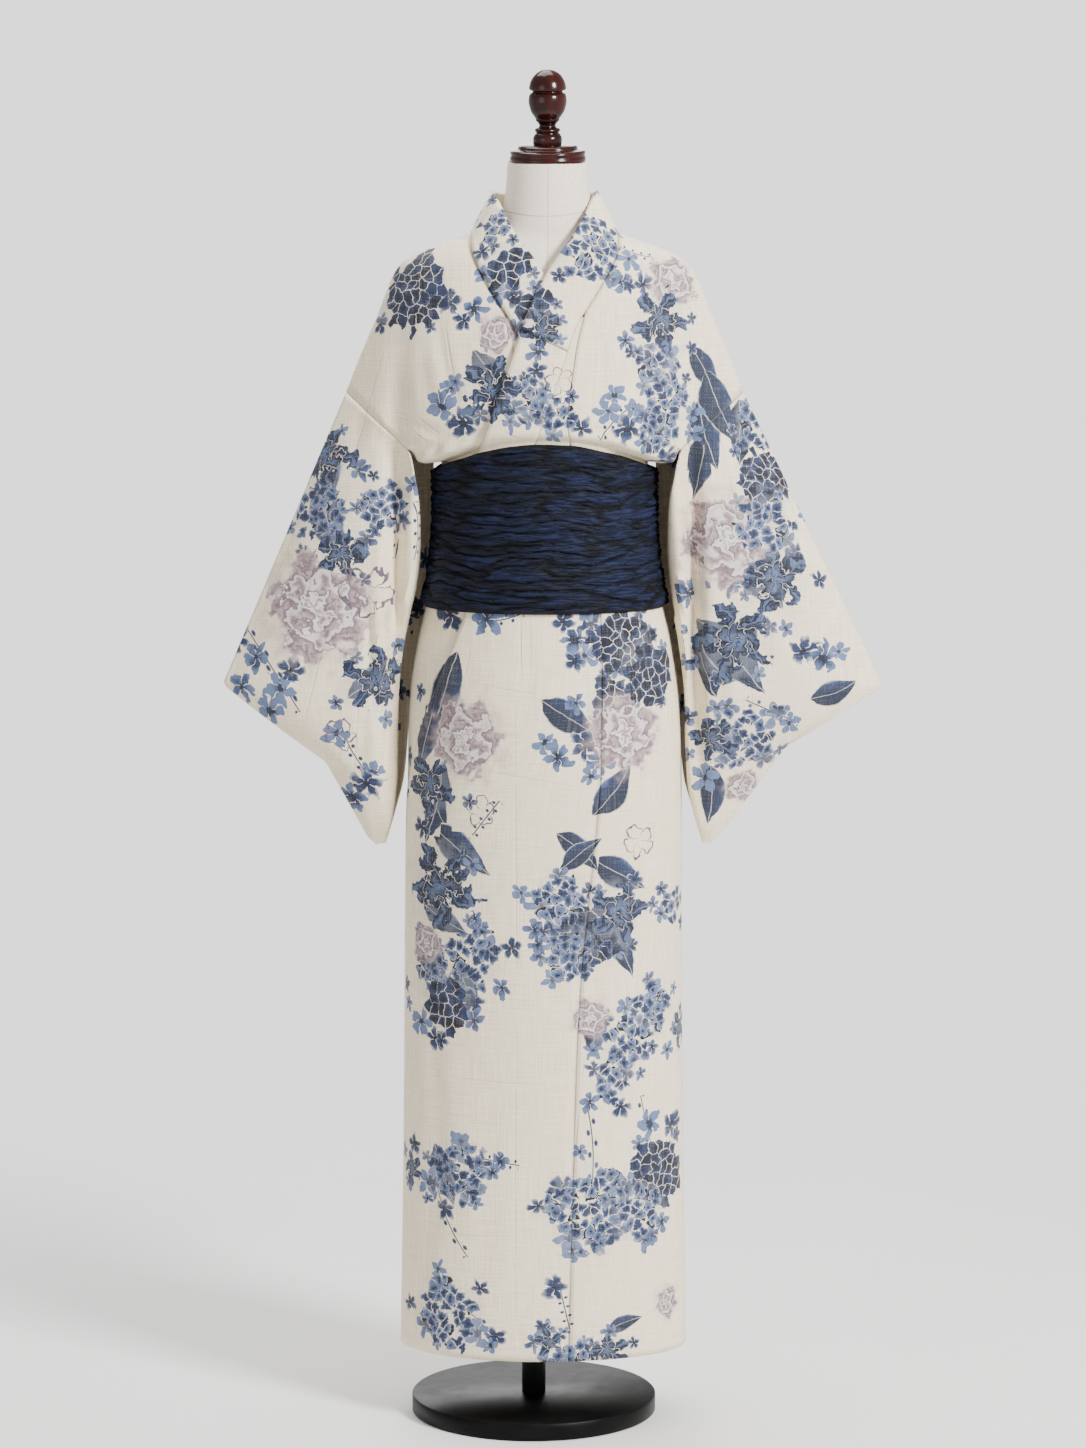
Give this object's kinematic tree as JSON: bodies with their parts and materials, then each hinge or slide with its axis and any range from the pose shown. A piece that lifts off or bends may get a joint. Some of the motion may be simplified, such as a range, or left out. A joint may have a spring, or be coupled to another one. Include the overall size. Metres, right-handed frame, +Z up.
{
  "type": "cotton yukata robe on a dress form",
  "caption": "Full-length cotton robe with wide sleeves, wrapped left over right under a wide crinkled sash, on a limbless dress form with a turned finial and a round stand.",
  "frame": {"origin": "centre of the stand base's underside, on the floor", "axes": "+Z up along the stand, the front of the robe towards -Y, the wearer's left towards +X"},
  "size_m": [0.7708, 0.289, 1.5799],
  "materials": {
    "printed_cotton": "matte slubbed cotton, cream with a printed indigo flower pattern",
    "sash_cloth": "crinkled navy cloth with a soft sheen",
    "form_canvas": "matte ivory canvas",
    "polished_wood": "polished dark red-brown wood",
    "satin_black": "satin black paint"
  },
  "bodies": {
    "root": {"body_left": "printed_cotton", "body_right": "printed_cotton", "okumi_left": "printed_cotton", "okumi_right": "printed_cotton", "sleeve_left": "printed_cotton", "sleeve_right": "printed_cotton", "collar_band": "printed_cotton", "over_collar": "printed_cotton", "sash": "sash_cloth", "form_torso": "form_canvas", "neck_cap": "polished_wood", "finial": "polished_wood", "stand_base": "satin_black", "stand_pole": "satin_black"}
  },
  "joints": []
}
